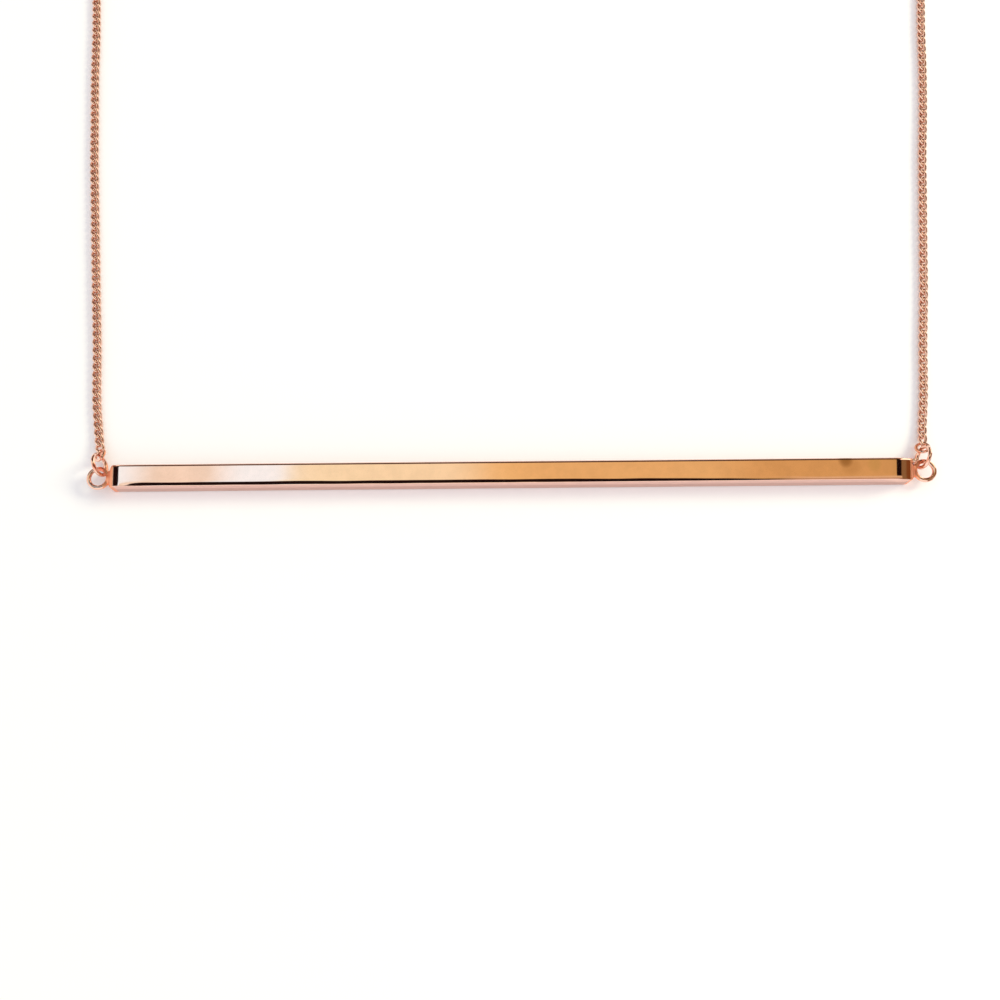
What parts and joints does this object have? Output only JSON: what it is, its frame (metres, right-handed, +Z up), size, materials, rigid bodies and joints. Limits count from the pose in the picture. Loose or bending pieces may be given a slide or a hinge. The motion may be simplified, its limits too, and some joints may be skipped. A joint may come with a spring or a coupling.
{
  "type": "bar necklace",
  "caption": "Long square rose-gold bar hung between two fine curb chains that close behind the neck with a plain ring clasp, lying flat.",
  "frame": {"origin": "middle of the bar's underside, on the surface that the necklace lies on", "axes": "+X along the bar to its right end, +Y from the bar towards the clasp, +Z up from the surface"},
  "size_m": [0.0909, 0.1668, 0.0023],
  "materials": {
    "rose_gold": "brass with a mirror-polished rose-gold plate",
    "chain_gold": "brass wire with a polished rose-gold plate, slightly deeper in its crevices"
  },
  "bodies": {
    "root": {"bar": "rose_gold", "jump_ring_left": "rose_gold", "jump_ring_right": "rose_gold", "end_ring_left": "rose_gold", "end_ring_right": "rose_gold", "chain_left": "chain_gold", "chain_right": "chain_gold", "clasp": "rose_gold", "clasp_ring_left": "rose_gold", "clasp_ring_right": "rose_gold", "clasp_end_ring_left": "rose_gold", "clasp_end_ring_right": "rose_gold"}
  },
  "joints": []
}
